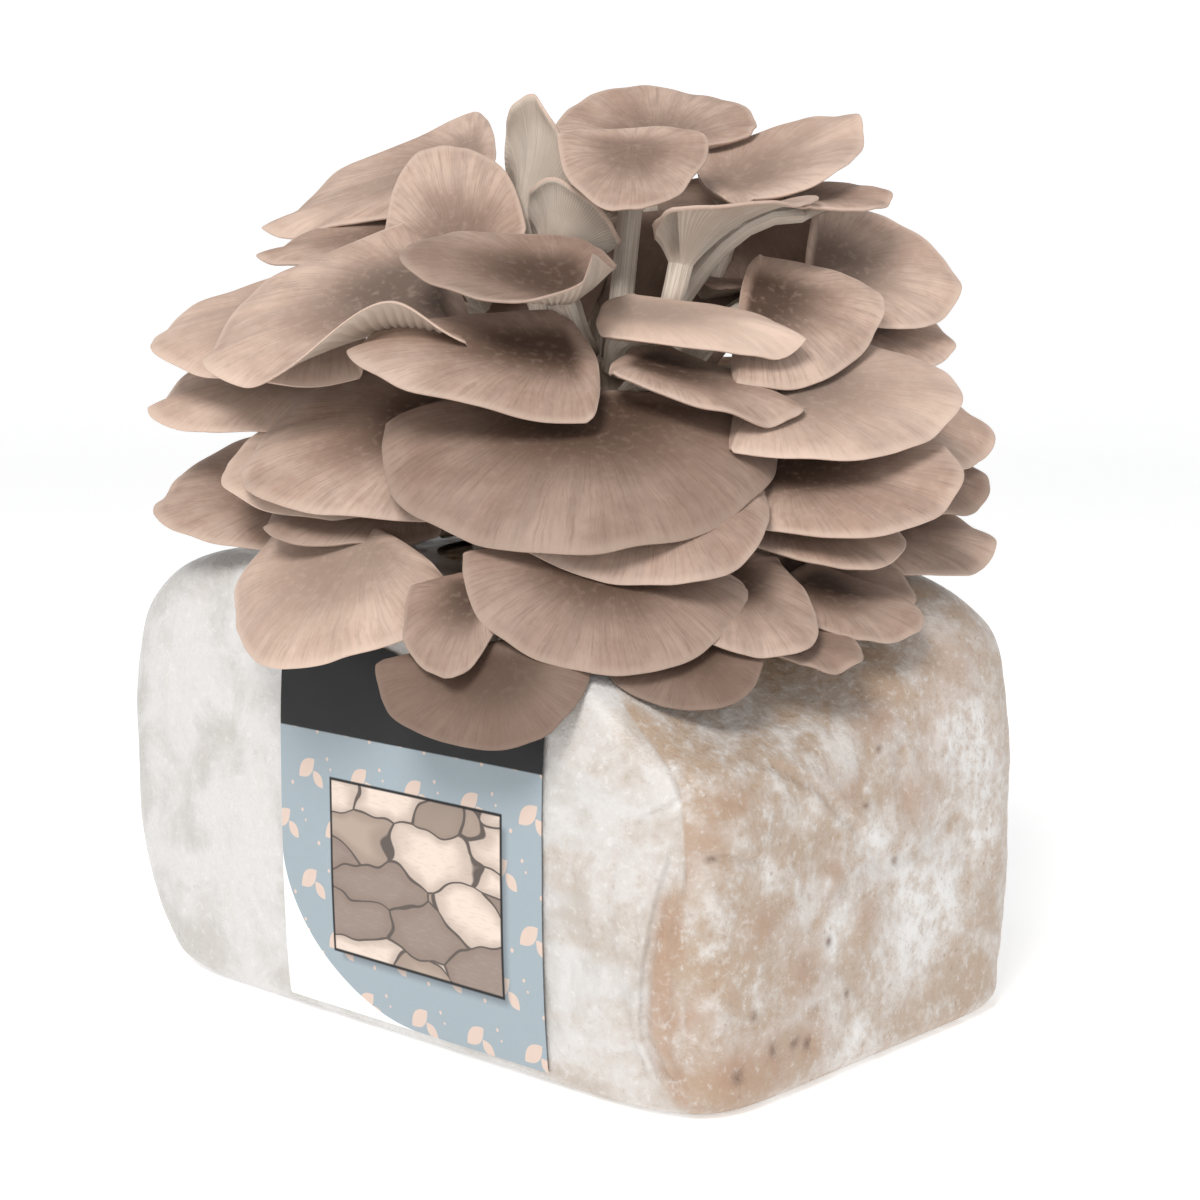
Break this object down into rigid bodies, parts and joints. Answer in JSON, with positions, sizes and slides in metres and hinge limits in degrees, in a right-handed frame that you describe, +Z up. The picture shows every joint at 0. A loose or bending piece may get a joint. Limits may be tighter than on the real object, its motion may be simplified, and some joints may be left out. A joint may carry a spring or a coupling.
{
  "type": "oyster mushroom grow block",
  "caption": "Bagged block of sawdust growing medium, cut open at the top, with a cluster of overlapping oyster mushroom caps fruiting over its upper edge.",
  "frame": {"origin": "middle of the block's flat base, on the surface it stands on", "axes": "+Z up out of the fruiting end; -Y is the labelled front face; +X is the end with the folded gusset"},
  "size_m": [0.255, 0.2327, 0.2866],
  "materials": {
    "medium": "rough",
    "film": "satin",
    "label": "satin",
    "flesh": "matte",
    "cap": "matte"
  },
  "bodies": {
    "root": {"bag_film": "film", "cluster_base": "flesh", "label": "label", "mushroom_back_1": "cap", "mushroom_back_10": "cap", "mushroom_back_11": "cap", "mushroom_back_2": "cap", "mushroom_back_3": "cap", "mushroom_back_4": "cap", "mushroom_back_5": "cap", "mushroom_back_6": "cap", "mushroom_back_7": "cap", "mushroom_back_8": "cap", "mushroom_back_9": "cap", "mushroom_crown_1": "cap", "mushroom_crown_2": "cap", "mushroom_crown_3": "cap", "mushroom_crown_4": "cap", "mushroom_crown_5": "cap", "mushroom_crown_6": "cap", "mushroom_crown_7": "cap", "mushroom_crown_8": "cap", "mushroom_front_1": "cap", "mushroom_front_2": "cap", "mushroom_front_3": "cap", "mushroom_front_4": "cap", "mushroom_front_5": "cap", "mushroom_front_6": "cap", "mushroom_left_1": "cap", "mushroom_left_2": "cap", "mushroom_left_3": "cap", "mushroom_left_4": "cap", "mushroom_left_5": "cap", "mushroom_left_6": "cap", "mushroom_left_7": "cap", "mushroom_left_8": "cap", "mushroom_left_9": "cap", "mushroom_low_1": "cap", "mushroom_low_2": "cap", "mushroom_low_3": "cap", "mushroom_low_4": "cap", "mushroom_low_5": "cap", "mushroom_low_6": "cap", "mushroom_right_1": "cap", "mushroom_right_10": "cap", "mushroom_right_2": "cap", "mushroom_right_3": "cap", "mushroom_right_4": "cap", "mushroom_right_5": "cap", "mushroom_right_6": "cap", "mushroom_right_7": "cap", "mushroom_right_8": "cap", "mushroom_right_9": "cap", "substrate_block": "medium"}
  },
  "joints": []
}
